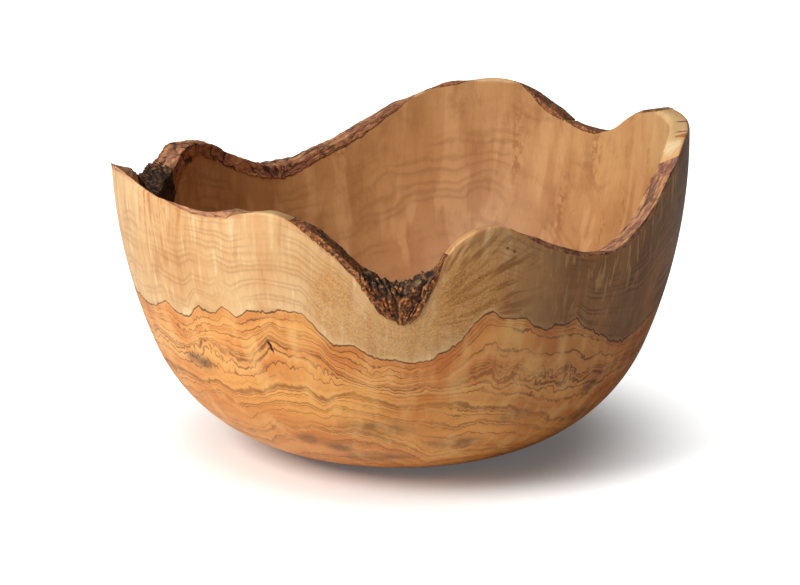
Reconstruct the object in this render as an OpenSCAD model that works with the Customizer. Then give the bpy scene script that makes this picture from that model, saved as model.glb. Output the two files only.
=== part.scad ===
// Turned natural-edge yarn bowl in olive wood.
// One wall of wood, cut along the undulating surface of the log, with the
// remnants of bark that are still seated on its rim.
// Units are millimetres. +Z is up, the bowl's turning axis is Z, and the
// origin is the centre of the flat foot. The front notch faces -Y.

/* [Bowl] */
// Radius at the widest ring of the wall
bowl_r = 142; // [130:1:155]
// Height of the widest ring above the table
wide_z = 151; // [140:1:165]
// Radius of the gentle arc of the upper side
side_arc = 257; // [220:1:320]
// Radius of the tight arc of the belly
belly_arc = 87; // [82:1:92]
// How far the belly arc dips below the table before the foot is cut flat
foot_cut = 0.2; // [0.1:0.1:2]

/* [Wall] */
// Thickness of the upper wall
wall_t = 10; // [6:0.5:14]
// Thickness of the wood under the bowl's floor
floor_t = 13; // [8:0.5:20]
// Radius of the tight arc inside the belly
inner_belly_arc = 78; // [74:1:80]

/* [Rim] */
// Raises or lowers the whole natural edge
rim_lift = 0; // [-10:1:10]
// Degrees between neighbouring sections of the natural edge
rim_step = 2; // [1:1:2]

/* [Bark] */
// Thickness of every bark remnant, as a multiple of its own
bark_scale = 1; // [0.6:0.1:1.4]
// Thickness to which a remnant tapers at its two ends
bark_end = 0.6; // [0.4:0.1:1.5]
// Depth of the shallow ripples across the bark
bark_ripple = 0.5; // [0:0.1:1]

/* [Colours] */
// Pale outer wood
wood_colour = [0.80, 0.58, 0.36];
// Brown bark
bark_colour = [0.33, 0.20, 0.13];

/* [Hidden] */
$fn = 180;
side_x = bowl_r - side_arc;
belly_z = belly_arc - foot_cut;
belly_x = side_x + sqrt(pow(side_arc - belly_arc, 2) - pow(wide_z - belly_z, 2));
in_side_arc = side_arc - wall_t;
in_belly_z = floor_t + inner_belly_arc - foot_cut;
in_belly_x = side_x + sqrt(pow(in_side_arc - inner_belly_arc, 2) - pow(wide_z - in_belly_z, 2));
block_top = 185;    // the solid of revolution before its rim is cut
cut_in = 120;       // reach of the rim cutter towards the axis
cut_out = 150;      // reach of the rim cutter outwards
sector_low = 80;    // foot of the wall sectors that bark is made from

// Natural edge of the wood: [azimuth from +X towards +Y in degrees,
// height at the outer wall, height at the inner wall]
rim = [
    [2, 162, 161], [14, 160, 159], [26, 152, 152], [34, 140, 141],
    [40, 136, 138], [47, 138, 140], [54, 145, 146], [60, 154, 157],
    [67, 158, 160], [76, 154, 156], [84, 150, 151], [91, 141, 141],
    [100, 127, 126], [109, 117, 117], [117, 110, 109], [124, 110, 110],
    [132, 117, 116], [139, 126, 125], [145, 128, 128], [150, 125, 123],
    [155, 116, 112], [160, 109, 101], [165, 108, 100], [170, 118, 113],
    [175, 131, 129], [184, 141, 140], [192, 144, 143], [200, 146, 145],
    [207, 146, 145], [214, 144, 143], [222, 141, 140], [232, 139, 138],
    [244, 144, 143], [250, 141, 140], [256, 131, 130], [262, 117, 117],
    [267, 100, 102], [271, 96, 99], [275, 105, 106], [278, 126, 124],
    [282, 136, 134], [288, 140, 138], [294, 133, 132], [302, 124, 123],
    [310, 119, 118], [317, 120, 117], [324, 128, 122], [330, 139, 133],
    [336, 150, 144], [343, 159, 156], [352, 161, 160]
];

// Bark remnants: for each, a list of [azimuth, thickness] along the rim
notch_bark = [[262, 3], [265, 9], [268, 14], [270, 15], [273, 14], [276, 9], [278, 0]];
slope_bark = [[248, 0], [252, 2.2], [257, 2.6], [260, 3.4], [262, 3]];
left_rim_bark = [[218, 0], [222, 1.6], [230, 3], [236, 3.2], [240, 0]];
left_tip_bark = [[184, 0], [190, 1.6], [200, 2.2], [208, 0]];
left_notch_bark = [[154, 9], [158, 13], [163, 14], [168, 10], [173, 5], [178, 0]];
back_left_bark = [[118, 5], [126, 5], [134, 6], [141, 5], [147, 6], [154, 9]];
back_rim_bark = [[86, 0], [92, 2.5], [101, 3.6], [109, 3.4], [118, 5]];
back_crest_bark = [[72, 0], [75, 1.6], [79, 1.6], [84, 0]];
back_right_bark = [[48, 0], [52, 2.2], [56, 2.2], [62, 0]];
back_dip_bark = [[34, 0], [38, 1.4], [44, 1.4], [48, 0]];
right_crest_bark = [[12, 0], [15, 1.4], [20, 1.4], [24, 0]];
right_rim_bark = [[314, 0], [318, 2.2], [326, 3], [334, 2.8], [338, 0]];
front_right_bark = [[290, 0], [296, 1.4], [304, 1.8], [314, 0]];

// ---- smooth curve through hand-set points -------------------------------

// Point i of the closed rim list, with the azimuth carried past a full turn
function rim_point(i) =
    let (n = len(rim), turns = floor(i / n), p = rim[i - n * turns])
    [p[0] + 360 * turns, p[1], p[2]];

// Slope of column c of the rim at point i
function rim_slope(i, c) =
    let (a = rim_point(i - 1), b = rim_point(i + 1)) (b[c] - a[c]) / (b[0] - a[0]);

// Cubic between two values with given end slopes, d apart, at fraction t
function cubic(v0, v1, s0, s1, d, t) =
    v0 * (2 * pow(t, 3) - 3 * t * t + 1) + s0 * d * (pow(t, 3) - 2 * t * t + t)
    + v1 * (3 * t * t - 2 * pow(t, 3)) + s1 * d * (pow(t, 3) - t * t);

// Height of the wood's natural edge at azimuth a (0 to 360): c = 1 outer, 2 inner
function wood_z(a, c) =
    let (
        before = [for (i = [0:len(rim) - 1]) if (rim[i][0] <= a) i],
        k = len(before) == 0 ? -1 : before[len(before) - 1],
        p = rim_point(k), q = rim_point(k + 1), d = q[0] - p[0]
    )
    rim_lift + cubic(p[c], q[c], rim_slope(k, c), rim_slope(k + 1, c), d, (a - p[0]) / d);

// Thickness of a remnant at azimuth a, never less than the end thickness
function bark_z(patch, a) =
    let (ripple = bark_ripple * sin(37 * a) * min(1, lookup(a, patch) / 4))
    max(bark_end, bark_scale * lookup(a, patch) + ripple);

// ---- solids of revolution ------------------------------------------------

// Points on an arc of radius r about [cx, cz], from angle a to angle b
function arc(cx, cz, r, a, b, steps) =
    [for (i = [0:steps]) let (m = a + (b - a) * i / steps) [cx + r * cos(m), cz + r * sin(m)]];

// One face of the wall from height low to block_top: a tight belly arc that
// runs on smoothly into the gentle side arc
function wall_line(side_r, belly_cx, belly_cz, belly_r, low) =
    let (meet = -atan((wide_z - belly_cz) / (belly_cx - side_x)))
    concat(
        arc(belly_cx, belly_cz, belly_r, -asin((belly_cz - low) / belly_r), meet, 22),
        [for (p = arc(side_x, wide_z, side_r, meet, asin((block_top - wide_z) / side_r), 15))
            if (p[1] > belly_cz + belly_r * sin(meet) + 0.01) p]
    );

module wall_profile() {
    outer = wall_line(side_arc, belly_x, belly_z, belly_arc, 0);
    inner = wall_line(in_side_arc, in_belly_x, in_belly_z, inner_belly_arc, floor_t);
    polygon(concat(
        [[0, 0]], outer, [for (i = [len(inner) - 1:-1:0]) inner[i]], [[0, floor_t]]
    ));
}

module wall() rotate([0, 0, rim_step / 2]) rotate_extrude() wall_profile();

// ---- the ruled surface of the natural edge ---------------------------------

// Radius of the side arc, of radius r, at height z
function side_radius(r, z) = side_x + sqrt(r * r - pow(z - wide_z, 2));

// Height at radius x on the straight line across the wall at azimuth a
function edge_z(a, x) =
    let (
        zo = wood_z(a, 1), zi = wood_z(a, 2),
        ro = side_radius(side_arc, zo), ri = side_radius(in_side_arc, zi)
    )
    zi + (zo - zi) * (x - ri) / (ro - ri);

function on_ring(a, x, z) = [x * cos(a), x * sin(a), z];

// Everything above the natural edge, as a closed ring
module above_edge() {
    n = 360 / rim_step;
    points = [for (i = [0:n - 1]) let (a = i * rim_step) each [
        on_ring(a, cut_in, edge_z(a, cut_in)), on_ring(a, cut_out, edge_z(a, cut_out)),
        on_ring(a, cut_out, block_top + 5), on_ring(a, cut_in, block_top + 5)
    ]];
    faces = [for (i = [0:n - 1], k = [0:3])
        let (p = 4 * i, q = 4 * ((i + 1) % n), m = (k + 1) % 4)
        each [[p + k, q + m, q + k], [p + k, p + m, q + m]]];
    polyhedron(points, faces, convexity = 8);
}

// The sector of upper wall from azimuth a, spread degrees wide
module wall_sector(a, spread) {
    rotate([0, 0, a])
        rotate_extrude(angle = spread)
            intersection() {
                wall_profile();
                translate([sector_low, sector_low]) square([bowl_r, block_top]);
            }
}

// A block whose face follows the natural edge from azimuth a to azimuth b.
// It lies under the edge, or over the remnant that rests on the edge.
module edge_block(a, b, patch, over) {
    n = (b - a) / rim_step;
    flat = over ? block_top + 5 : sector_low - 5;
    points = [for (i = [0:n]) let (m = a + i * rim_step, t = over ? bark_z(patch, m) : 0) each [
        on_ring(m, cut_in, edge_z(m, cut_in) + t), on_ring(m, cut_out, edge_z(m, cut_out) + t),
        on_ring(m, cut_out, flat), on_ring(m, cut_in, flat)
    ]];
    sides = [for (i = [0:n - 1], k = [0:3])
        let (p = 4 * i, q = p + 4, m = (k + 1) % 4)
        each [[p + k, q + m, q + k], [p + k, p + m, q + m]]];
    ends = [[3, 2, 1, 0], [4 * n, 4 * n + 1, 4 * n + 2, 4 * n + 3]];
    faces = concat(sides, ends);
    polyhedron(points, over ? faces : [for (f = faces) [for (j = [len(f) - 1:-1:0]) f[j]]], convexity = 8);
}

// One bark remnant: the layer of wall that lies on the natural edge. Its ends
// lie a quarter of a step past the sections, clear of the blocks' corners.
module remnant(patch) {
    first = patch[0][0];
    last = patch[len(patch) - 1][0];
    difference() {
        wall_sector(first + rim_step / 4, last - first);
        edge_block(first - rim_step, last + rim_step, patch, false);
        edge_block(first - rim_step, last + rim_step, patch, true);
    }
}

// ---- the pieces ------------------------------------------------------------

module bowl_body() color(wood_colour) difference() { wall(); above_edge(); }
module front_notch_bark() color(bark_colour) remnant(notch_bark);
module front_slope_bark() color(bark_colour) remnant(slope_bark);
module left_rim_bark() color(bark_colour) remnant(left_rim_bark);
module left_tip_bark() color(bark_colour) remnant(left_tip_bark);
module left_notch_bark() color(bark_colour) remnant(left_notch_bark);
module back_left_bark() color(bark_colour) remnant(back_left_bark);
module back_rim_bark() color(bark_colour) remnant(back_rim_bark);
module back_crest_bark() color(bark_colour) remnant(back_crest_bark);
module back_right_bark() color(bark_colour) remnant(back_right_bark);
module back_dip_bark() color(bark_colour) remnant(back_dip_bark);
module right_crest_bark() color(bark_colour) remnant(right_crest_bark);
module right_rim_bark() color(bark_colour) remnant(right_rim_bark);
module front_right_bark() color(bark_colour) remnant(front_right_bark);

bowl_body();
front_notch_bark();
front_slope_bark();
left_rim_bark();
left_tip_bark();
left_notch_bark();
back_left_bark();
back_rim_bark();
back_crest_bark();
back_right_bark();
back_dip_bark();
right_crest_bark();
right_rim_bark();
front_right_bark();
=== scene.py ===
"""Looks of the natural-edge olive-wood yarn bowl.

The wall, its rim and every remnant of bark are sampled from the CAD nodes, rebuilt as dense meshes
in the same place, and given procedural wood and bark. Lengths in the code are millimetres until
build() turns them into metres. Azimuth 0 is +X, 90 is +Y, and the front notch is at 270.
"""

import math

import bpy
import numpy as np
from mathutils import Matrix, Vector
from mathutils.bvhtree import BVHTree


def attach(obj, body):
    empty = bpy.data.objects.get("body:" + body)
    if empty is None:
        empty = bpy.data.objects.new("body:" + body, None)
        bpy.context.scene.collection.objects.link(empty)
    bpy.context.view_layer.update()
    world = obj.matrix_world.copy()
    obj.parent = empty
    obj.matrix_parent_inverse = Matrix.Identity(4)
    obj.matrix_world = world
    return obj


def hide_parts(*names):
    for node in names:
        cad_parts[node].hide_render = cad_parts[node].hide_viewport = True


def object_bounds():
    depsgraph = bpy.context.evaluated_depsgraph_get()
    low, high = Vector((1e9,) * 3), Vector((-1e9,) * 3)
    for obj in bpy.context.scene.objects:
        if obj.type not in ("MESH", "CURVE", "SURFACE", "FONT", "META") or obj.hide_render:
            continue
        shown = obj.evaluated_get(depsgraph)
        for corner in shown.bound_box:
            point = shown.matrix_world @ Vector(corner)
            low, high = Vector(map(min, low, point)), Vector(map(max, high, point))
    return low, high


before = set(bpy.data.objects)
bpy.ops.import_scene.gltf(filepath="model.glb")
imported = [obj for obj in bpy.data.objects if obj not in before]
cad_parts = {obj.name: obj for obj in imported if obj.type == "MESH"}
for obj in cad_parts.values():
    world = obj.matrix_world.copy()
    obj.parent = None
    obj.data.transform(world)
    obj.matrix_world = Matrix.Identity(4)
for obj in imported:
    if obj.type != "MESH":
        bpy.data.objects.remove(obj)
cad_box = [list(corner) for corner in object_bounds()]
HEIGHT = cad_box[1][2]  # highest crest, in metres


# ---- reading the CAD frame ---------------------------------------------------


def tree_of(node):
    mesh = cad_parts[node].data
    return BVHTree.FromPolygons(
        [v.co for v in mesh.vertices], [tuple(p.vertices) for p in mesh.polygons]
    )


def touch(tree, start, direction):
    """Where a ray from start, in mm, first meets the node, in mm, or None."""
    place = tree.ray_cast(Vector(start) * 0.001, Vector(direction))[0]
    return None if place is None else place * 1000


def top_z(tree, azimuth, radius):
    """Height of the node's top at that azimuth in degrees and radius, or nan."""
    a = math.radians(azimuth)
    place = touch(tree, (radius * math.cos(a), radius * math.sin(a), 300), (0, 0, -1))
    return float("nan") if place is None else place.z


R1, R2 = 132.4, 135.6  # two radii that lie on the rim's cut face all the way round, in mm
UPRIGHT = 104  # the wall is sampled up or down inside this radius, and from the side beyond it
FINE = np.arange(0, 360, 0.5)  # the azimuths at which the rim is read, in degrees


def tops(tree):
    """Heights of the node's top at R1 and at R2 for every azimuth, nan where it has none."""
    return [np.array([top_z(tree, a, radius) for a in FINE]) for radius in (R1, R2)]


body_tree = tree_of("bowl_body")
h1, h2 = tops(body_tree)
crest = math.radians(FINE[int(np.argmax(h2))])


def wall_line(outer):
    """(radius, height) points down the middle of the table to the rim, on one face of the wall."""
    c, s = math.cos(crest), math.sin(crest)
    points = []
    for r in np.linspace(0.5, UPRIGHT, 70):
        z0, up = (-50, 1) if outer else (300, -1)
        points.append((r, touch(body_tree, (r * c, r * s, z0), (0, 0, up)).z))
    for z in np.linspace(points[-1][1] + 1, h2.max() - 1, 60):
        start = (250 * c, 250 * s, z) if outer else (0, 0, z)
        way = (-c, -s, 0) if outer else (c, s, 0)
        place = touch(body_tree, start, way)
        points.append((math.hypot(place.x, place.y), z))
    return np.array(points)


class Line:
    """One face of the wall as a curve by its own length."""

    def __init__(self, outer):
        self.p = wall_line(outer)
        steps = np.hypot(*np.diff(self.p, axis=0).T)
        self.s = np.concatenate([[0], np.cumsum(steps)])
        self.high = self.p[:, 0] > 60  # past the floor, where a height has one radius

    def radius(self, z):
        return np.interp(z, self.p[self.high, 1], self.p[self.high, 0])

    def length(self, z):
        return np.interp(z, self.p[self.high, 1], self.s[self.high])

    def at(self, s):
        return np.interp(s, self.s, self.p[:, 0]), np.interp(s, self.s, self.p[:, 1])


outer, inner = Line(True), Line(False)


def soften(values):
    """A round list of values, evened out over about two degrees."""
    return sum(np.roll(values, k) * w for k, w in zip(range(-2, 3), (1, 2, 3, 2, 1))) / 9


def edges(low_z, high_z):
    """Heights at the outer and inner wall of a face known at radii R1 and R2."""
    slope = (high_z - low_z) / (R2 - R1)
    zo, zi = high_z.copy(), low_z.copy()
    for _ in range(5):
        zo = high_z + slope * (outer.radius(zo) - R2)
        zi = low_z + slope * (inner.radius(zi) - R1)
    return zo, zi


rim_o, rim_i = (soften(soften(v)) for v in edges(h1, h2))


def around(azimuth, table):
    """A table given every half degree, at any azimuth."""
    return np.interp(np.asarray(azimuth) % 360, np.append(FINE, 360), np.append(table, table[0]))


# ---- smooth random fields and listed curves ----------------------------------


def lumps(p, size, seed=0):
    """A smooth random field from -1 to 1 with bumps about size across. p is (..., 3)."""
    q = np.asarray(p, float) / np.asarray(size, float) + 31.7 * seed + 1000
    cell = np.floor(q).astype(np.int64)
    f = q - cell
    f = f * f * (3 - 2 * f)
    total = 0
    for k in range(8):
        step = np.array([k & 1, (k >> 1) & 1, k >> 2])
        n = ((cell + step) * np.array([73856093, 19349663, 83492791])).sum(-1)
        n = (n ^ (n >> 13)) * 1274126177 & 0x7FFFFFFF
        n = (n ^ (n >> 15)) * 668265263 & 0x7FFFFFFF
        w = np.where(step == 1, f, 1 - f).prod(-1)
        total = total + w * ((n >> 8 & 0xFFFF) / 32767.5 - 1)
    return total


def round_curve(points, azimuth):
    """Listed [azimuth, value] points, joined by straight lines, at any azimuth."""
    p = np.array(points, float)
    return np.interp(np.asarray(azimuth) % 360, p[:, 0], p[:, 1], period=360)


def step_up(value, low, high):
    """0 at low, 1 at high, smooth between; low may be the larger."""
    t = np.clip((value - low) / (high - low), 0, 1)
    return t * t * (3 - 2 * t)


def lean(azimuth):
    """How far the inner edge of the rim drops at the left tip, below the CAD's, in mm."""
    a = np.asarray(azimuth) % 360
    return 8.0 * step_up(a, 180, 196) * step_up(a, 236, 214)


rim_i = rim_i - lean(FINE)


# ---- building meshes -----------------------------------------------------------


def build(name, verts, faces, marks):
    """A closed mesh from points in mm, with one number or vector per point for each mark."""
    mesh = bpy.data.meshes.new(name)
    mesh.from_pydata((np.asarray(verts) * 0.001).tolist(), [], faces)
    for key, values in marks.items():
        values = np.asarray(values, np.float32)
        kind = "FLOAT" if values.ndim == 1 else "FLOAT_VECTOR"
        field = "value" if values.ndim == 1 else "vector"
        mesh.attributes.new(key, kind, "POINT").data.foreach_set(field, values.ravel())
    mesh.polygons.foreach_set("use_smooth", [True] * len(mesh.polygons))
    mesh.update()
    obj = bpy.data.objects.new(name, mesh)
    bpy.context.scene.collection.objects.link(obj)
    return obj


def ring_faces(columns, rows):
    """Quads of a grid numbered column by column, whose last column meets the first."""
    i = np.arange(columns)[:, None]
    j = np.arange(rows - 1)[None, :]
    n = (i + 1) % columns
    quads = np.stack([i * rows + j, n * rows + j, n * rows + j + 1, i * rows + j + 1], -1)
    return quads.reshape(-1, 4).tolist()


def tube_faces(n, m):
    """Faces of a tube of n rings of m points, closed by a centre point for each end."""
    faces = []
    for i in range(n - 1):
        for j in range(m):
            k = (j + 1) % m
            faces.append([(i + 1) * m + j, (i + 1) * m + k, i * m + k, i * m + j])
    for j in range(m):
        k = (j + 1) % m
        faces.append([n * m, j, k])
        faces.append([n * m + 1, (n - 1) * m + k, (n - 1) * m + j])
    return faces


# ---- the wall of the bowl --------------------------------------------------------

# Growth lines on the outer face, as [azimuth, height], from the sapwood boundary down.
# The front is read from the photograph; past azimuth 335 and up to 204 they are guessed.
BOUNDARY = [
    [206, 83], [215, 89], [219, 86], [223, 86], [226, 93], [231, 91], [233, 95], [236, 91],
    [239, 96], [243, 97], [251, 98], [254, 90], [257, 83], [260, 84], [263, 81], [265, 78],
    [269, 76], [273, 75], [276, 76], [280, 82], [282, 85], [284, 92], [286, 98], [288, 99],
    [290, 95], [294, 94], [295, 94], [297, 89], [300, 87], [302, 89], [304, 87], [307, 89],
    [310, 83], [315, 78], [320, 72], [325, 69], [334, 74], [345, 78], [5, 84], [30, 76],
    [60, 88], [95, 80], [130, 90], [160, 78], [185, 85],
]
LINE_A = [
    [204, 78], [215, 77], [219, 72], [225, 78], [229, 81], [237, 80], [241, 85], [244, 90],
    [246, 86], [254, 82], [256, 76], [260, 72], [264, 68], [274, 67], [278, 70], [281, 77],
    [284, 84], [287, 93], [289, 92], [296, 89], [300, 84], [309, 81], [316, 75], [324, 67],
    [335, 66], [10, 74], [60, 76], [95, 70], [130, 78], [170, 70],
]
LINE_B = [
    [207, 70], [214, 65], [220, 70], [225, 76], [229, 76], [235, 71], [238, 72], [240, 76],
    [243, 84], [245, 82], [247, 80], [254, 77], [257, 68], [260, 66], [265, 62], [271, 61],
    [274, 63], [280, 62], [286, 65], [289, 69], [291, 63], [298, 61], [305, 58], [313, 54],
    [316, 57], [320, 55], [328, 57], [5, 60], [60, 64], [100, 56], [140, 66], [180, 60],
]
LINE_C = [
    [209, 54], [221, 50], [226, 55], [230, 50], [234, 50], [239, 54], [243, 59], [250, 60],
    [252, 55], [254, 52], [257, 56], [260, 60], [263, 57], [269, 53], [277, 53], [280, 51],
    [283, 53], [287, 49], [295, 48], [300, 44], [305, 39], [309, 34], [320, 29], [327, 30],
    [333, 36], [20, 46], [80, 40], [130, 48], [180, 44],
]
LINE_D = [
    [215, 41], [225, 49], [229, 43], [236, 44], [243, 50], [250, 51], [253, 47], [256, 51],
    [260, 49], [268, 46], [273, 44], [279, 41], [283, 38], [288, 41], [294, 39], [303, 33],
    [319, 22], [350, 28], [50, 34], [110, 28], [160, 36],
]
LINE_E = [
    [224, 27], [232, 28], [240, 36], [243, 35], [249, 37], [253, 35], [259, 38], [263, 37],
    [269, 31], [274, 24], [278, 18], [286, 22], [298, 20], [316, 12], [20, 18], [110, 16],
]
LEVELS = [0, 9, 22, 34, 42, 56]  # ring value of each of these lines, in mm of depth

REMNANTS = [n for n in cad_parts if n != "bowl_body"]
bark_tops = {}
covered = np.zeros(len(FINE))
for node in REMNANTS:
    t1, t2 = tops(tree_of(node))
    there = ~(np.isnan(t1) | np.isnan(t2))
    bark_tops[node] = (there, t1, t2)
    covered = np.maximum(covered, there)
covered = soften(soften(covered))


def blur(table, half):
    """A round table evened out under a bell that reaches half steps to each side."""
    window = np.hanning(2 * half + 3)[1:-1]
    return sum(np.roll(table, k - half) * w for k, w in enumerate(window)) / window.sum()


def even_top(which, wood):
    """The tops of all the remnants as one table round the rim, evened out over a few degrees."""
    table = wood.copy()
    for there, *heights in bark_tops.values():
        table[there] = np.maximum(table[there], heights[which][there])
    wide = step_up(FINE, 150, 162) * step_up(FINE, 206, 196)
    return blur(table, 4) * (1 - wide) + blur(table, 14) * wide


top1, top2 = even_top(0, h1), even_top(1, h2)

# azimuths of the mesh's columns: closer on the side that the photograph shows
columns = np.concatenate([np.arange(195, 371, 0.4), np.arange(371, 555, 0.7)])
n_col = len(columns)
zo, zi = around(columns, rim_o), around(columns, rim_i)
cover = around(columns, covered)
so, si = outer.length(zo), inner.length(zi)
# how far the rounding of the rim's two corners reaches, in mm: hardly at all under bark
lip = 0.3 + (1 - cover) * (2.1 + 0.5 * np.sin(np.radians(columns * 7)))

# rows are set by length along the outer face from its middle, and along the inner one to its middle
N_OUT, N_IN = 78, 49
FOOT_ROWS = np.array([0.5, 12, 24, 34, 42, 47, 48.4])
FOOT_EDGE = 49.5
part = np.linspace(0, 1, N_OUT - len(FOOT_ROWS))
lengths_o = np.concatenate([
    np.repeat(FOOT_ROWS[None], n_col, 0),
    FOOT_EDGE + (so - lip - FOOT_EDGE)[:, None] * part[None],
], 1)
towards_middle = np.linspace(0, 1, N_IN)[None] ** 1.05
lengths_i = (si - lip)[:, None] + (0.6 - (si - lip))[:, None] * towards_middle
ro, z_out = outer.at(lengths_o)
ri, z_in = inner.at(lengths_i)
corner_o = np.stack([outer.radius(zo), zo], -1)
corner_i = np.stack([inner.radius(zi), zi], -1)
across = corner_i - corner_o
across /= np.hypot(across[:, 0], across[:, 1])[:, None]


def bend(a, corner, b, steps):
    """A rounded corner: points of a curve from a to b pulled towards the corner."""
    t = np.linspace(0, 1, steps)[None, :, None]
    return a[:, None] * (1 - t) ** 2 + corner[:, None] * 2 * t * (1 - t) + b[:, None] * t * t


low_o = np.stack([ro[:, -1], z_out[:, -1]], -1)
low_i = np.stack([ri[:, 0], z_in[:, 0]], -1)
start_o, start_i = corner_o + across * lip[:, None], corner_i - across * lip[:, None]
bend_o = bend(low_o, corner_o, start_o, 7)[:, 1:]
bend_i = bend(start_i, corner_i, low_i, 7)[:, :-1]
flat = start_o[:, None] + (start_i - start_o)[:, None] * np.linspace(0, 1, 5)[None, 1:-1, None]
rim = np.concatenate([bend_o, flat, bend_i], 1)
N_RIM = rim.shape[1]

radius = np.concatenate([ro, rim[:, :, 0], ri], 1)
height = np.concatenate([z_out, rim[:, :, 1], z_in], 1)
turn = np.radians(columns)[:, None]
points = np.stack([radius * np.cos(turn), radius * np.sin(turn), height], -1)
rows = points.shape[1]
# 0 on the outer face, 1 on the inner one, and between them across the rim
inside = np.concatenate([
    np.zeros(N_OUT), np.linspace(0, 1, N_RIM + 2)[1:-1], np.ones(N_IN)
])[None] * np.ones((n_col, 1))
# length along the face below the rim, in mm
edge_depth = np.concatenate([
    so[:, None] - lengths_o, np.zeros((n_col, N_RIM)), si[:, None] - lengths_i
], 1)

# the natural edge keeps the shallow hollows of the log's own surface
near_edge = np.exp(-edge_depth / 3)
points[..., 2] += near_edge * (1 - cover[:, None]) * 0.35 * lumps(points, (7, 7, 30), 3)

SAPWOOD = 45  # ring value that the sapwood takes up between its boundary and the rim
INNER_BOUNDARY = 26  # mean height of the boundary on the inner face, in mm
LEAST_GAP = 1.6  # between two growth lines, in mm


def ring_value(azimuth, z, edge_z, is_inside, p):
    """Depth below the sapwood boundary, by the growth layers and, on the outer face, in plain mm."""
    lines = [round_curve(c, azimuth) for c in (BOUNDARY, LINE_A, LINE_B, LINE_C, LINE_D, LINE_E)]
    heights = [lines[0]]
    for line in lines[1:]:
        heights.append(np.minimum(line, heights[-1] - LEAST_GAP))
    heights.append(heights[-1] * 0 - 30)  # a last line, well below the table
    levels = LEVELS + [100]
    value = np.zeros_like(z)
    for k in range(len(heights) - 1):
        a, b = heights[k], heights[k + 1]
        t = (a - z) / (a - b)
        value = np.where((t >= 0) & (t < 1), levels[k] + (levels[k + 1] - levels[k]) * t, value)
    above = np.clip((z - heights[0]) / (edge_z - heights[0]), 0, 1.05)
    value = np.where(z > heights[0], -SAPWOOD * above, value)

    angle = np.radians(azimuth)
    circle = np.stack([np.cos(angle), np.sin(angle), 0 * angle], -1) * 60
    depth = INNER_BOUNDARY + 7 * lumps(circle, 34, 5) - z
    depth = np.where(depth < 0, depth * SAPWOOD / (edge_z - INNER_BOUNDARY), depth * 1.2)
    depth = (depth + 5 * lumps(p, (70, 50, 60), 8)) * is_inside
    return value * (1 - is_inside) + depth, (heights[0] - z) * (1 - is_inside) + depth


azimuth_all = np.repeat((columns % 360)[:, None], rows, 1)
edge_all = (np.maximum(zo, zi))[:, None] * np.ones((1, rows))
ring, heart = ring_value(azimuth_all, height, edge_all, (inside > 0.5) * 1.0, points)


# ---- patches of the figure ---------------------------------------------------------


def arc_from(a):
    """How far round the wall each point is from an azimuth, in mm."""
    return np.radians((azimuth_all - a + 180) % 360 - 180) * radius


def spot(a, z, wide, tall, face=0):
    """How far each point is into a given oval patch: 1 in its middle, 0 outside."""
    d = np.hypot(arc_from(a) / wide, (height - z) / tall)
    return step_up(1 - d, 0, 0.7) * (np.abs(inside - face) < 0.5)


def patch(a, across_at, wide, deep):
    """Like spot, on the rim's cut face: across_at is 0 at the outer wall and 1 at the inner."""
    d = np.hypot(arc_from(a) / wide, (inside - across_at) * 10 / deep)
    return step_up(1 - d, 0, 0.7)


def outer_place(a, z):
    """(mm round the wall, mm up) from a place on the outer face, far off on the inner one."""
    place = np.stack([arc_from(a), height - z, 0 * radius], -1)
    place[inside > 0.5] = 99
    return place


smoke = sum(
    spot(*s) for s in [
        (264, 38, 26, 6), (297, 42, 14, 5), (322, 33, 9, 7), (263, 18, 26, 5.5), (254, 25, 10, 5.5),
        (246, 28, 10, 5.5), (284, 28, 18, 6), (222, 62, 16, 6), (318, 50, 8, 7),
    ]
)
gold = sum(spot(*s) for s in [(269, 90, 34, 22), (283, 106, 24, 30), (257, 106, 15, 26)])
busy = sum(spot(*s) for s in [(224, 70, 34, 20), (300, 60, 42, 14), (262, 66, 60, 10)])
feather = spot(222, 144, 52, 20) + 0.6 * spot(216, 126, 30, 40)
knots = sum(
    spot(*s, 1) for s in [
        (47, 97, 4, 26), (25, 103, 3, 14), (32, 90, 4, 14), (16, 138, 4, 16), (61, 122, 5, 34),
        (38, 128, 6, 20), (105, 118, 10, 5), (122, 122, 8, 5),
    ]
)
bright = spot(355, 158, 44, 26, 0.5) + 0.75 * spot(8, 152, 40, 34, 1)
scar = sum(
    patch(*s) for s in [(346.5, 0.3, 4.6, 3.4), (349.5, 0.42, 2.4, 2.2), (357, 0.4, 1.8, 2.8)]
)
flake = patch(342.5, 0.56, 6.0, 3.4)

# painted shade: the outer face is darker on the right, which is in shade in the photograph
turned = (azimuth_all - 200) % 360
painted_shade = step_up(turned, 80, 106) * step_up(turned, 188, 142) * step_up(inside, 0.3, 0.1)

# dark rays fan out on the wood to the right of the front notch
fan_x, fan_z = np.radians(azimuth_all - 271) * radius, height - 92
fan_turn, fan_reach = np.degrees(np.arctan2(fan_z, fan_x)), np.hypot(fan_x, fan_z)
fan = np.stack([fan_turn / 4.5, fan_reach / 22, 0 * fan_z], -1)
fanned = spot(285, 112, 38, 38) * step_up(azimuth_all, 274, 279) * 0.85

# the slit is a small open bark pocket, up to POCKET mm deep, that leans by SLANT
SLANT, POCKET = 0.35, 1.6
slit, pin = outer_place(243.2, 78.8), outer_place(290.6, 128)
sink = np.exp(-(((slit[..., 0] + slit[..., 1] * SLANT) / 0.9) ** 2) - (slit[..., 1] / 2.6) ** 2)
inward = -points * np.array([1, 1, 0])
inward /= np.maximum(np.linalg.norm(inward, axis=-1), 1e-6)[..., None]
points += inward * (sink * POCKET)[..., None]


# ---- the wall as one closed mesh ---------------------------------------------------

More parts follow.
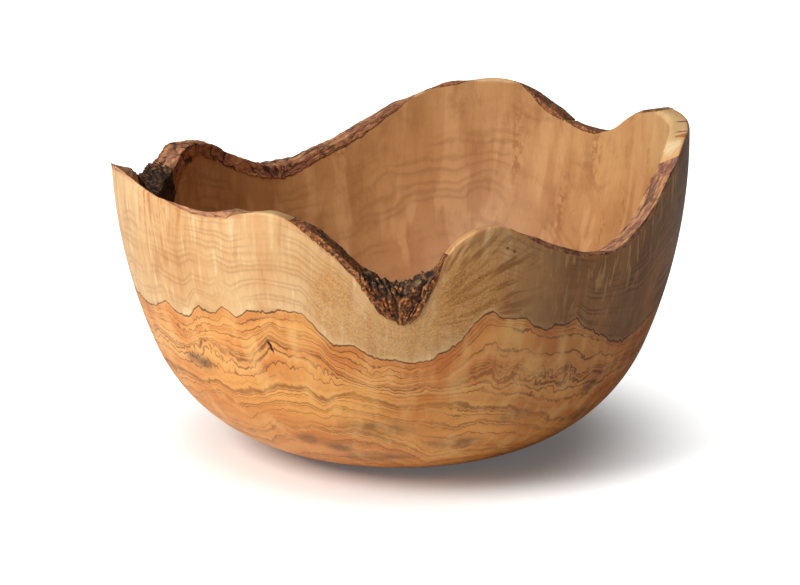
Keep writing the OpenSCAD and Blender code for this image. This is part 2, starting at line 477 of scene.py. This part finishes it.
wall_points = points.reshape(-1, 3)
wall_faces = ring_faces(n_col, rows)
foot_centre, floor_centre = len(wall_points), len(wall_points) + 1
for i in range(n_col):
    j = (i + 1) % n_col
    wall_faces.append([foot_centre, j * rows, i * rows])
    wall_faces.append([floor_centre, i * rows + rows - 1, j * rows + rows - 1])
floor_z = float(z_in[0, -1])
wall_points = np.concatenate([wall_points, [[0, 0, 0], [0, 0, floor_z]]])


def mark(grid):
    """A grid of marks as a list, with the two centre points repeated from the nearest ring."""
    flat_grid = grid.reshape((-1,) + grid.shape[2:])
    return np.concatenate([flat_grid, flat_grid[0:1], flat_grid[rows - 1:rows]])


wall_marks = {
    "ring": ring, "heart": heart, "inside": inside, "edge": edge_depth,
    "cover": np.repeat(cover[:, None], rows, 1), "smoke": np.clip(smoke, 0, 1),
    "gold": np.clip(gold, 0, 1), "busy": np.clip(busy, 0, 1), "painted_shade": painted_shade, "fan": fan,
    "fanned": fanned, "feather": feather, "knots": knots, "scar": np.clip(scar, 0, 1),
    "flake": flake, "bright": bright, "slit": slit, "pin": pin,
}
bowl = build("turned_bowl", wall_points, wall_faces, {k: mark(g) for k, g in wall_marks.items()})


# ---- bark ------------------------------------------------------------------------

# node: (degrees a column, roughness of the surface, tone from pink inner bark 0 to dark crust 1)
BARKS = {
    "front_notch_bark": (0.16, 1.0, 1.0),
    "front_slope_bark": (0.22, 0.45, 0.5),
    "left_rim_bark": (0.3, 0.2, 0.1),
    "left_tip_bark": (0.3, 0.2, 0.0),
    # a tone above 1 also paints a black shadow low on this notch's bark
    "left_notch_bark": (0.22, 0.55, 1.5),
    "back_left_bark": (0.25, 0.3, 0.3),
    "back_rim_bark": (0.25, 0.3, 0.3),
    "back_crest_bark": (0.3, 0.25, 0.35),
    "back_right_bark": (0.3, 0.25, 0.4),
    "back_dip_bark": (0.3, 0.2, 0.4),
    "right_crest_bark": (0.3, 0.3, 0.35),
    "right_rim_bark": (0.25, 0.35, 0.1),
    "front_right_bark": (0.3, 0.25, 0.35),
}


SLIM = {"right_crest_bark": 0.6}  # thinner than the CAD
RIM_RADIUS = 137  # turns degrees round the rim into mm
MEETS = 1  # remnants whose ends are closer than this, in degrees, run into each other


def section(n_side):
    """Once round a remnant's section: v is 1 at the outer wall, w is 0 on the wood and 1 on top."""
    n_flat = 20
    v = np.concatenate([
        np.linspace(0, 1, n_flat), np.ones(n_side), np.linspace(1, 0, n_flat), np.zeros(n_side)
    ])
    w = np.concatenate([
        np.zeros(n_flat), np.linspace(0, 1, n_side + 2)[1:-1],
        np.ones(n_flat), np.linspace(1, 0, n_side + 2)[1:-1],
    ])
    return v, w


def thinning(node, cols, first, last):
    """How much of the CAD's thickness a remnant keeps: less at free ends and round the left tip."""
    others = sum(bark_tops[n][0] for n in REMNANTS if n != node)
    keep = np.ones(len(cols))
    for end in (first, last):
        if not sum(around(end + k, others) for k in (0, -MEETS, MEETS)):
            reach = min(5.0, (last - first) * 0.4)
            keep *= 0.05 + 0.95 * step_up(np.abs(cols - end), 0, reach)
    left_tip = step_up(cols % 360, 186, 200) * step_up(cols % 360, 244, 232)
    keep *= SLIM.get(node, 1.0) * (1 - 0.5 * left_tip)
    return keep


def ridges(field, size, seed, sharp):
    """1 along the thin seams where a random field changes sign, falling off to each side."""
    return 1 - np.abs(lumps(field, size, seed)) * sharp


def bark(node, step, rough, tone):
    """One remnant as a closed, cracked strip that lies on the natural edge of the wood."""
    span = FINE[bark_tops[node][0]]
    if span.max() - span.min() > 300:  # it crosses azimuth 0
        span = np.where(span < 180, span + 360, span)
    first, last = span.min() - 0.2, span.max() + 0.2
    cols = np.arange(first, last + step / 2, step)
    b2 = around(cols, top2)
    bo, bi = edges(around(cols, top1), b2)
    bi = bi - lean(cols)
    wo, wi = around(cols, rim_o), around(cols, rim_i)
    bo, bi = np.maximum(bo, wo + 0.1), np.maximum(bi, wi + 0.1)
    keep = thinning(node, cols, first, last)
    bo, bi = wo + (bo - wo) * keep, wi + (bi - wi) * keep
    thick = np.maximum((b2 - around(cols, h2)) * keep, 0.05)

    v, w = section(int(np.clip(thick.max() / 0.5, 5, 30)))
    turn = np.radians(cols)[:, None]
    arc = turn * RIM_RADIUS
    low = wi[:, None] + (wo - wi)[:, None] * v
    high = bi[:, None] + (bo - bi)[:, None] * v
    seat = low
    side = np.abs(v * 2 - 1)[None]
    body = np.minimum(thick[:, None] / 5, 1)
    deep = step_up(thick.max(), 6, 9)  # 1 for the thick bark of the notches, 0 for the thin strips

    # ragged border on the wood, and a broken crust along the top
    flow = np.stack([arc + 0 * v, v * 10 + 0 * arc, 0 * arc + 0 * v], -1)
    torn = 0.7 + 0.8 * deep
    ragged = torn * lumps(flow, (3.5, 6, 9), 2) + 0.6 * torn * lumps(flow, (1.2, 3, 9), 4)
    border = 0.5 + side * (torn + ragged)
    chips = lumps(flow, (3, 4, 9), 6) * 0.8 + lumps(flow, (1.2, 1.6, 9), 7) * 0.6
    low = low - border * np.minimum(body * 2.5, 1)
    high = high + chips * rough * 1.3 * body
    z = low + (high - low) * w
    r = inner.radius(z) + v * (outer.radius(z) - inner.radius(z))

    # plates and cracks: thick bark's fan out from below the lowest point of its notch
    swing = np.radians(cols[:, None] - cols[int(np.argmin(wo))]) * RIM_RADIUS
    rise = z - wo.min() + 7
    aim = np.degrees(np.arctan2(swing, np.maximum(rise, 3)))
    rays = np.stack([aim, np.hypot(swing, rise), v * 8 + 0 * z], -1)
    spread = np.stack([r * np.cos(turn), r * np.sin(turn), z], -1)
    along = np.stack([arc + 0 * z, v * 10 + 0 * z, z - low], -1)
    rays[..., 0] += 4 * lumps(spread, (3, 3, 4), 16)
    cracks = deep * ridges(rays, (6.5, 11, 5), 11, 2.8)
    cracks = cracks + (1 - deep) * ridges(along, (9, 1.7, 1.5), 12, 3.0)
    fine = deep * ridges(rays, (3.2, 3.5, 3), 13, 2.4)
    fine = fine + (1 - deep) * ridges(along, (3, 0.8, 0.9), 13, 2.6)
    cracks, fine = np.clip(cracks, 0, 1), np.clip(fine, 0, 1)
    relief = (0.55 - 1.5 * cracks * body - 0.45 * fine) * rough + 0.25 * lumps(spread, 1.1, 14) * rough
    free = np.clip(w * 6, 0, 1) * np.minimum(body * 2.5, 1) * (0.35 + 0.65 * body)
    taper = np.clip(np.minimum(cols - first, last - cols) / 1.0, 0, 1)[:, None]
    push = relief * free * taper
    push = np.where(push < 0, push * step_up(z - seat, 0.4, 2.0), push)
    outset = (0.22 + 0.3 * deep * taper) * keep[:, None]  # laps over the wood on both faces
    r = r + push * (v * 2 - 1) * side ** 2 + (v * 2 - 1) * outset
    z = z + push * 0.8 * step_up(w, 0.9, 1.0)
    points = np.stack([r * np.cos(turn), r * np.sin(turn), z], -1)

    n, m = points.shape[:2]
    ends = np.stack([points[0].mean(0), points[-1].mean(0)])
    weave = 0.7 * lumps(along, (9, 1.5, 1.3), 21) + 0.5 * lumps(along, (3, 0.7, 0.8), 22)

    def full(grid):
        return np.concatenate([grid.ravel(), grid.ravel()[:1], grid.ravel()[-1:]])

    name = node.replace("_bark", "_bark_layer")
    return build(name, np.concatenate([points.reshape(-1, 3), ends]), tube_faces(n, m), {
        "layer": full(np.repeat(w[None], n, 0)), "crack": full(np.maximum(cracks, fine * 0.6)),
        "tone": np.full(n * m + 2, tone), "side": full(np.repeat(v[None], n, 0)),
        "bulk": full(np.repeat(body, m, 1)), "weave": full(weave),
    })


# ---- node materials ----------------------------------------------------------------


def rgb(r, g, b):
    """A screen colour, 0 to 255, as the linear colour that Blender wants."""
    def one(c):
        c /= 255
        return c / 12.92 if c <= 0.04045 else ((c + 0.055) / 1.055) ** 2.4
    return (one(r), one(g), one(b), 1)


class Paint:
    """A material made by calls that take numbers, colours or sockets."""

    def __init__(self, name):
        self.mat = bpy.data.materials.new(name)
        self.mat.use_nodes = True
        self.tree = self.mat.node_tree
        self.shader = self.tree.nodes["Principled BSDF"]
        self.object_at = self.tree.nodes.new("ShaderNodeTexCoord").outputs["Object"]

    def put(self, socket, value):
        if isinstance(value, bpy.types.NodeSocket):
            self.tree.links.new(value, socket)
        elif value is not None:
            socket.default_value = value

    def mark(self, name, out="Fac"):
        node = self.tree.nodes.new("ShaderNodeAttribute")
        node.attribute_name = name
        return node.outputs[out]

    def parts(self, name):
        """The first two numbers of a vector mark."""
        node = self.tree.nodes.new("ShaderNodeSeparateXYZ")
        self.put(node.inputs[0], self.mark(name, "Vector"))
        return node.outputs[0], node.outputs[1]

    def math(self, op, a, b=None):
        node = self.tree.nodes.new("ShaderNodeMath")
        node.operation = op
        self.put(node.inputs[0], a)
        self.put(node.inputs[1], b)
        return node.outputs[0]

    def add(self, a, b):
        return self.math("ADD", a, b)

    def less(self, a, b):
        return self.math("SUBTRACT", a, b)

    def times(self, a, b):
        return self.math("MULTIPLY", a, b)

    def size(self, a):
        return self.math("ABSOLUTE", a)

    def square(self, a):
        return self.math("POWER", a, 2.0)

    def stretch(self, height):
        """Object coordinates for noise: a height below 1 draws it out upright."""
        node = self.tree.nodes.new("ShaderNodeVectorMath")
        node.operation = "MULTIPLY"
        self.put(node.inputs[0], self.object_at)
        node.inputs[1].default_value = (1, 1, height)
        return node.outputs[0]

    def noise(self, vector, scale, detail=2.0, roughness=0.5, seed=None):
        """Noise from 0 to 1; with a seed it is four-dimensional."""
        node = self.tree.nodes.new("ShaderNodeTexNoise")
        if seed is not None:
            node.noise_dimensions = "4D"
            self.put(node.inputs["W"], seed)
        self.put(node.inputs["Vector"], vector)
        for key, value in (("Scale", scale), ("Detail", detail), ("Roughness", roughness)):
            self.put(node.inputs[key], value)
        return node.outputs[0]

    def cloud(self, low, high, scale, detail, roughness=0.5, seed=None, height=None):
        """Patches of noise: 0 below low and 1 above high. For height, see stretch."""
        at = self.object_at if height is None else self.stretch(height)
        return self.fade(self.noise(at, scale, detail, roughness, seed), low, high)

    def wave(self, w, scale, detail):
        """One-dimensional noise from 0 to 1 along w."""
        node = self.tree.nodes.new("ShaderNodeTexNoise")
        node.noise_dimensions = "1D"
        self.put(node.inputs["W"], w)
        self.put(node.inputs["Scale"], scale)
        self.put(node.inputs["Detail"], detail)
        return node.outputs[0]

    def lines(self, w, scale, width):
        """Thin lines at random places along w: 1 on a line, 0 away from it."""
        node = self.tree.nodes.new("ShaderNodeTexVoronoi")
        node.voronoi_dimensions = "1D"
        self.put(node.inputs["W"], w)
        self.put(node.inputs["Scale"], scale)
        return self.fade(node.outputs["Distance"], width * 1.6, width * 0.4)

    def fade(self, value, low, high):
        """0 at low, 1 at high, smooth between."""
        node = self.tree.nodes.new("ShaderNodeMapRange")
        node.interpolation_type = "SMOOTHSTEP"
        self.put(node.inputs[0], value)
        self.put(node.inputs[1], low)
        self.put(node.inputs[2], high)
        return node.outputs[0]

    def mix(self, factor, a, b, blend="MIX"):
        node = self.tree.nodes.new("ShaderNodeMix")
        node.data_type, node.blend_type = "RGBA", blend
        for index, value in ((0, factor), (6, a), (7, b)):
            self.put(node.inputs[index], value)
        return node.outputs[2]

    def wash(self, colour, mask, amount, tint, blend="MIX"):
        """The colour with an amount of tint where the mask is."""
        return self.mix(self.times(mask, amount), colour, tint, blend)

    def bump(self, value, strength, distance):
        node = self.tree.nodes.new("ShaderNodeBump")
        self.put(node.inputs["Height"], value)
        node.inputs["Strength"].default_value = strength
        node.inputs["Distance"].default_value = distance
        self.put(self.shader.inputs["Normal"], node.outputs[0])


# (ring value, half width) of the long dark growth lines
MAIN_LINES = (
    (9, 0.35), (22, 0.6), (24.5, 0.3), (34, 0.7), (36, 0.3), (42, 0.45), (56, 0.35),
)


def heartwood(p, ring, patchy, painted_shade):
    """Orange, in layers, with fine dark lines. Returns (colour, how much of a dark line)."""
    broad = p.cloud(0.35, 0.66, 24, 3.0, seed=1.0, height=1.6)
    layer = p.wave(ring, 0.22, 2.0)
    colour = p.mix(broad, rgb(238, 168, 92), rgb(214, 126, 58))
    colour = p.wash(colour, p.fade(layer, 0.5, 0.72), 0.4, rgb(176, 98, 42))
    colour = p.wash(colour, p.fade(layer, 0.46, 0.3), 0.4, rgb(244, 188, 118))

    strong = p.times(p.lines(ring, 0.2, 0.055), p.add(0.35, p.times(patchy, 0.65)))
    fine = p.lines(p.add(ring, 40.0), 0.42, 0.085)
    fine = p.times(fine, p.times(p.cloud(0.48, 0.62, 30, 2.0, seed=13.0), 0.7))
    main = None
    for level, width in MAIN_LINES:
        one = p.fade(p.size(p.less(ring, float(level))), width * 1.7, width * 0.4)
        main = one if main is None else p.math("MAXIMUM", main, one)
    main = p.times(main, p.add(0.55, p.times(patchy, 0.45)))
    dark = p.math("MAXIMUM", p.math("MAXIMUM", strong, fine), main)
    colour = p.wash(colour, dark, 0.74, rgb(108, 54, 28))

    haze = p.add(0.4, p.times(p.cloud(0.38, 0.62, 60, 4.0, 0.6, 17.0, 2.2), 0.6))
    colour = p.wash(colour, p.times(p.mark("smoke"), haze), 0.9, rgb(88, 56, 46))
    colour = p.wash(colour, p.fade(ring, 20.0, 45.0), 0.26, rgb(254, 180, 86))
    colour = p.wash(colour, p.fade(ring, 40.0, 75.0), 0.28, rgb(206, 112, 40), "MULTIPLY")
    # painted shade: the heartwood is darkened on the shaded right side of the outer face
    colour = p.wash(colour, p.times(painted_shade, painted_shade), 0.45, rgb(190, 152, 108), "MULTIPLY")
    # painted sheen: bright upright streaks and patches of painted highlight in the colour
    sheen = p.cloud(0.5, 0.7, 150, 2.0, seed=27.0, height=0.14)
    colour = p.wash(colour, sheen, 0.28, rgb(252, 196, 124))
    flare = p.cloud(0.52, 0.66, 58, 3.0, 0.55, 81.0, 0.3)
    return p.wash(colour, flare, 0.34, rgb(255, 206, 132)), dark


def sapwood(p, drift, painted_shade, gold):
    """Pale, with upright streaks, flecks and faint layers. Returns it with its three patterns."""
    pale = p.mix(p.cloud(0.34, 0.68, 16, 3.0, seed=21.0), rgb(232, 192, 140), rgb(214, 164, 108))
    # painted shade: the sapwood takes dark brown tints on the shaded right side of the outer face
    shade = p.cloud(0.38, 0.62, 36, 4.0, 0.6, 79.0, 0.7)
    pale = p.wash(pale, painted_shade, 0.88, p.mix(shade, rgb(150, 91, 38), rgb(116, 65, 27)))
    streak = p.cloud(0.5, 0.7, 120, 4.0, 0.62, 23.0, 0.13)
    pale = p.wash(pale, streak, 0.45, rgb(172, 108, 60))
    quill = p.cloud(0.5, 0.62, 330, 3.0, 0.6, 63.0, 0.22)
    feathered = p.add(0.12, p.times(p.mark("feather"), 0.45))
    pale = p.wash(pale, quill, feathered, rgb(188, 118, 62))
    # painted sheen: bright upright streaks, with a darker copy of them as painted shade on the shaded
    # right side
    glow = p.cloud(0.54, 0.7, 300, 2.0, seed=29.0, height=0.06)
    pale = p.wash(pale, glow, 0.42, p.mix(painted_shade, rgb(252, 226, 178), rgb(172, 130, 84)))

    layers = p.add(p.mark("ring"), p.times(drift, 11.0))
    arcs = p.fade(p.wave(layers, 0.17, 2.0), 0.45, 0.75)
    pale = p.wash(pale, arcs, 0.3, rgb(190, 130, 78))
    broken = p.cloud(0.42, 0.6, 34, 3.0, seed=67.0)
    hair = p.times(p.lines(p.add(layers, 60.0), 0.3, 0.16), broken)
    # painted shade: the hair lines are darker and stronger on the shaded right side
    hair_tint = p.mix(painted_shade, rgb(140, 86, 46), rgb(82, 48, 26))
    pale = p.wash(pale, hair, p.add(0.22, p.times(painted_shade, 0.3)), hair_tint)

    needles = p.cloud(0.55, 0.64, 430, 2.0, seed=77.0, height=0.12)
    needles = p.times(needles, p.times(painted_shade, p.fade(p.mark("edge"), 42.0, 6.0)))
    pale = p.wash(pale, needles, 0.75, rgb(204, 156, 98))
    rays = p.fade(p.noise(p.mark("fan", "Vector"), 1.0, 3.0, 0.6, seed=51.0), 0.47, 0.58)
    pale = p.wash(pale, rays, p.mark("fanned"), rgb(108, 64, 30))
    warm = p.cloud(0.48, 0.7, 45, 3.0, 0.6, 33.0, 0.25)
    pale = p.wash(pale, warm, 0.35, rgb(206, 140, 82))
    pale = p.wash(pale, p.mark("fanned"), 0.35, rgb(196, 124, 48))
    speckle = p.cloud(0.35, 0.65, 1100, 2.0, seed=31.0)
    ragged = p.fade(p.add(gold, p.noise(p.object_at, 70, 3.0, 0.6, seed=69.0)), 0.6, 1.4)
    pale = p.wash(pale, ragged, 0.5, p.mix(speckle, rgb(220, 160, 82), rgb(166, 108, 52)))
    lining = p.times(p.fade(p.mark("edge"), 3.0, 0.5), p.mark("cover"))
    return p.wash(pale, lining, 0.45, rgb(196, 122, 58)), arcs, hair, broken


def inner_face(p, arcs, hair):
    """Even tan, with painted shade that makes it a little darker deeper in the hollow."""
    tan = p.mix(p.cloud(0.35, 0.65, 14, 3.0, seed=37.0), rgb(206, 158, 106), rgb(190, 138, 88))
    tan = p.wash(tan, p.cloud(0.45, 0.7, 70, 3.0, 0.6, 41.0, 0.16), 0.5, rgb(160, 106, 62))
    # painted shade: darker with depth below the rim
    tan = p.wash(tan, p.fade(p.mark("edge"), 22.0, 75.0), 0.35, rgb(148, 96, 62))
    bands = p.cloud(0.5, 0.6, 95, 2.0, seed=71.0, height=0.07)
    tan = p.wash(tan, bands, 0.3, rgb(226, 178, 126))
    curl = p.cloud(0.5, 0.66, 62, 4.0, 0.65, 73.0, 0.5)
    tan = p.wash(tan, curl, 0.4, rgb(152, 98, 56))
    tan = p.wash(tan, arcs, 0.22, rgb(150, 100, 60))
    tan = p.wash(tan, hair, 0.24, rgb(130, 82, 44))
    dots = p.cloud(0.46, 0.58, 420, 2.0, 0.6, 75.0, 0.6)
    return p.wash(tan, p.times(p.mark("knots"), dots), 0.5, rgb(146, 82, 40))


def olive_wood():
    p = Paint("olive_wood")
    painted_shade, gold = p.mark("painted_shade"), p.mark("gold")

    # zigzag of the growth layers, the same over a short height
    upright = p.stretch(0.4)
    zig = p.less(p.noise(upright, 105, 1.0), 0.5)
    zag = p.less(p.size(p.less(p.noise(upright, 260, 1.0, seed=3.0), 0.5)), 0.12)
    jag = p.add(p.times(zig, 7.0), p.times(zag, 9.0))
    drift = p.less(p.noise(p.object_at, 38, 2.0, seed=7.0), 0.5)
    heart = p.add(p.mark("heart"), p.times(jag, 0.55))
    zigzag = p.times(jag, p.add(0.48, p.times(p.mark("busy"), 0.6)))
    ring = p.add(p.mark("ring"), p.add(zigzag, p.times(drift, 6.0)))

    patchy = p.cloud(0.36, 0.56, 42, 2.0, seed=11.0)
    orange, dark = heartwood(p, ring, patchy, painted_shade)
    pale, arcs, hair, broken = sapwood(p, drift, painted_shade, gold)
    pale = p.mix(p.fade(p.mark("inside"), 0.66, 1.0), pale, inner_face(p, arcs, hair))

    # the right crest is made lighter, and has a small knot and a flake of bast
    pale = p.wash(pale, p.mark("bright"), 0.55, rgb(244, 204, 146))
    crumbled = p.times(p.less(p.noise(p.object_at, 420, 3.0, 0.6), 0.5), 1.6)
    scar = p.fade(p.add(p.mark("scar"), crumbled), 0.3, 0.6)
    pale = p.wash(pale, scar, 0.85, p.mix(broken, rgb(196, 108, 56), rgb(112, 70, 72)))
    flake = p.fade(p.add(p.mark("flake"), crumbled), 0.25, 0.7)
    pale = p.wash(pale, flake, 0.7, rgb(240, 216, 170))

    # the boundary is a dark line, with a cream one above it
    wood = p.mix(p.fade(heart, -0.25, 0.25), pale, orange)
    cream = p.times(p.fade(heart, -2.4, -1.4), p.fade(heart, -0.4, -0.9))
    wood = p.wash(wood, cream, p.add(0.06, p.times(gold, 0.25)), rgb(248, 214, 158))
    line = p.fade(p.size(heart), p.add(0.35, p.times(patchy, 0.4)), 0.15)
    wood = p.wash(wood, line, 0.85, rgb(74, 38, 22))

    # the bark pocket and two pin knots
    x, z = p.parts("slit")
    leaning = p.times(p.add(x, p.times(z, SLANT)), 1.5)
    oval = p.add(p.square(leaning), p.square(p.times(z, 0.36)))
    wood = p.wash(wood, p.fade(oval, 3.2, 1.0), 0.6, rgb(120, 62, 34))
    wood = p.mix(p.fade(oval, 1.3, 0.7), wood, rgb(34, 30, 22))
    x, z = p.parts("pin")
    for pin_x, pin_z in ((-1.6, 0.8), (1.8, -1.0)):
        off = p.add(p.square(p.add(x, -pin_x)), p.square(p.add(z, -pin_z)))
        wood = p.wash(wood, p.fade(off, 1.2, 0.3), 0.7, rgb(96, 56, 30))

    pores = p.noise(p.stretch(0.2), 900, 3.0, 0.6, seed=43.0)
    wood = p.wash(wood, p.fade(pores, 0.5, 0.75), 0.16, rgb(120, 74, 40))
    p.put(p.shader.inputs["Base Color"], wood)
    p.put(p.shader.inputs["Roughness"], p.add(0.36, p.times(pores, 0.2)))
    p.shader.inputs["Specular IOR Level"].default_value = 0.3
    p.bump(p.add(p.times(pores, 0.5), p.times(dark, -0.15)), 0.25, 0.0002)
    return p.mat


def dry_bark():
    p = Paint("dry_bark")
    layer, tone, bulk = p.mark("layer"), p.mark("tone"), p.mark("bulk")
    coarse = p.noise(p.object_at, 130, 4.0, 0.6, seed=2.0)
    grit = p.noise(p.object_at, 620, 3.0, 0.65, seed=5.0)
    flake = p.noise(p.stretch(2.5), 240, 3.0, 0.6, seed=9.0)

    # inner bark: pinkish brown, in long woven strips
    weave = p.mark("weave")
    bast = p.mix(p.fade(coarse, 0.38, 0.62), rgb(196, 138, 100), rgb(158, 104, 78))
    bast = p.wash(bast, p.fade(flake, 0.54, 0.62), 0.35, rgb(112, 68, 54))
    bast = p.wash(bast, p.fade(weave, 0.1, 0.4), 0.6, rgb(122, 82, 78))
    bast = p.wash(bast, p.fade(weave, -0.15, -0.4), 0.55, rgb(224, 176, 120))

    # outer bark: brown, with rusty and dark grit
    rind = p.mix(p.fade(flake, 0.4, 0.62), rgb(158, 92, 44), rgb(104, 62, 42))
    rind = p.mix(p.fade(coarse, 0.52, 0.66), rind, rgb(94, 62, 60))
    rind = p.wash(rind, p.fade(grit, 0.52, 0.6), 0.8, rgb(214, 142, 76))
    rind = p.wash(rind, p.fade(grit, 0.47, 0.4), 0.7, rgb(52, 32, 28))
    colour = p.mix(p.fade(p.add(tone, p.times(coarse, 0.4)), 0.35, 0.75), bast, rind)

    # thick bark has an ashy crust on top; below it the left notch's bark gets a black painted shadow
    up = p.add(layer, p.times(p.less(coarse, 0.5), 0.6))
    thick = p.times(p.fade(tone, 0.3, 0.9), p.fade(bulk, 0.2, 0.8))
    crust = p.times(p.times(p.fade(up, 0.72, 0.95), thick), p.fade(flake, 0.62, 0.48))
    ash = p.mix(p.fade(grit, 0.42, 0.62), rgb(24, 20, 18), rgb(92, 80, 62))
    colour = p.wash(colour, crust, 0.85, ash)
    # painted shadow: near-black low on the inner side of bark whose tone is above 1
    painted_notch_shadow = p.times(p.fade(layer, 1.15, 0.75), p.fade(p.mark("side"), 1.0, 0.6))
    colour = p.wash(colour, p.times(p.fade(tone, 1.1, 1.4), painted_notch_shadow), 0.85, rgb(20, 14, 10))
    lichen = p.times(p.cloud(0.62, 0.68, 190, 2.0, seed=15.0), p.fade(layer, 0.6, 0.95))
    colour = p.wash(colour, lichen, 0.55, rgb(158, 144, 84))
    # painted shade: the cracks are darkened towards near-black, more so on thick bark
    crack = p.fade(p.mark("crack"), 0.35, 0.95)
    colour = p.wash(colour, crack, p.add(0.35, p.times(bulk, 0.5)), rgb(26, 18, 14))

    p.put(p.shader.inputs["Base Color"], colour)
    p.put(p.shader.inputs["Roughness"], p.add(0.62, p.times(grit, 0.3)))
    p.shader.inputs["Specular IOR Level"].default_value = 0.3
    p.bump(p.add(grit, p.times(flake, 1.2)), 0.7, 0.0006)
    return p.mat


wood_paint, bark_paint = olive_wood(), dry_bark()
bowl.data.materials.append(wood_paint)
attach(bowl, "root")
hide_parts("bowl_body")
for node, look in BARKS.items():
    piece = bark(node, *look)
    piece.data.materials.append(bark_paint)
    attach(piece, "root")
    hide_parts(node)


# ---- studio ------------------------------------------------------------------------


FLOOR_HALF = 6.0  # metres
FLOOR_GAP = 0.0003  # the floor lies this far below the foot, in metres
CAMERA_TILT, CAMERA_REACH, CAMERA_LENS = math.radians(15), 1.3, 116.8


def add_floor():
    """A white floor. For the camera it glows with painted light, rising to plain white away from the
    bowl.
    """
    h = FLOOR_HALF
    floor_mesh = bpy.data.meshes.new("studio_floor")
    floor_mesh.from_pydata([(-h, -h, 0), (h, -h, 0), (h, h, 0), (-h, h, 0)], [], [(0, 1, 2, 3)])
    floor = bpy.data.objects.new("studio_floor", floor_mesh)
    floor.location.z = -FLOOR_GAP
    bpy.context.scene.collection.objects.link(floor)
    p = Paint("studio_white")
    seen = p.tree.nodes.new("ShaderNodeLightPath").outputs["Is Camera Ray"]
    p.shader.inputs["Base Color"].default_value = (0.87, 0.9, 0.92, 1)
    p.shader.inputs["Emission Color"].default_value = (1, 1, 1, 1)
    far = p.tree.nodes.new("ShaderNodeVectorMath")
    far.operation = "LENGTH"
    p.put(far.inputs[0], p.object_at)
    # painted light: the camera-only glow is faint beside the bowl and grows with distance from it
    near = p.add(0.1, p.times(p.fade(far.outputs["Value"], 0.083, 0.17), 0.85))
    lit = p.add(near, p.times(p.fade(far.outputs["Value"], 0.17, 0.36), 0.2))
    p.put(p.shader.inputs["Emission Strength"], p.times(seen, lit))
    p.shader.inputs["Roughness"].default_value = 0.2
    p.shader.inputs["Specular IOR Level"].default_value = 0.25
    floor_mesh.materials.append(p.mat)


def add_world():
    """White to the camera, and a faint even light to everything else."""
    world = bpy.data.worlds.new("studio")
    world.use_nodes = True
    tree = world.node_tree
    path = tree.nodes.new("ShaderNodeLightPath")
    strength = tree.nodes.new("ShaderNodeMapRange")
    strength.inputs[3].default_value, strength.inputs[4].default_value = 0.1, 1.0
    tree.links.new(path.outputs["Is Camera Ray"], strength.inputs[0])
    back = tree.nodes["Background"]
    back.inputs[0].default_value = (1, 1, 1, 1)
    tree.links.new(strength.outputs[0], back.inputs[1])
    bpy.context.scene.world = world


def add_lamp(name, place, size, power, colour):
    """A square lamp that points at the middle of the bowl."""
    data = bpy.data.lights.new(name, "AREA")
    data.size, data.energy, data.color = size, power, colour
    obj = bpy.data.objects.new(name, data)
    obj.location = place
    aim = Vector((0, 0, HEIGHT / 2)) - Vector(place)
    obj.rotation_euler = aim.to_track_quat("-Z", "Y").to_euler()
    bpy.context.scene.collection.objects.link(obj)


def add_camera():
    scene = bpy.context.scene
    camera = bpy.data.objects.new("camera", bpy.data.cameras.new("camera"))
    back, up = CAMERA_REACH * math.cos(CAMERA_TILT), CAMERA_REACH * math.sin(CAMERA_TILT)
    camera.location = (0, -back, HEIGHT * 0.45 + up)
    camera.rotation_euler = (math.pi / 2 - CAMERA_TILT, 0, 0)
    camera.data.sensor_width = 36
    camera.data.lens = CAMERA_LENS
    scene.collection.objects.link(camera)
    scene.camera = camera


def studio():
    add_floor()
    add_world()
    add_lamp("key", (-1.4, -1.05, 1.4), 1.0, 55, (1.0, 0.98, 0.95))
    add_lamp("over", (0.0, 0.6, 1.9), 1.0, 2, (1.0, 1.0, 1.0))
    bpy.context.scene.view_settings.view_transform = "Standard"
    add_camera()


studio()
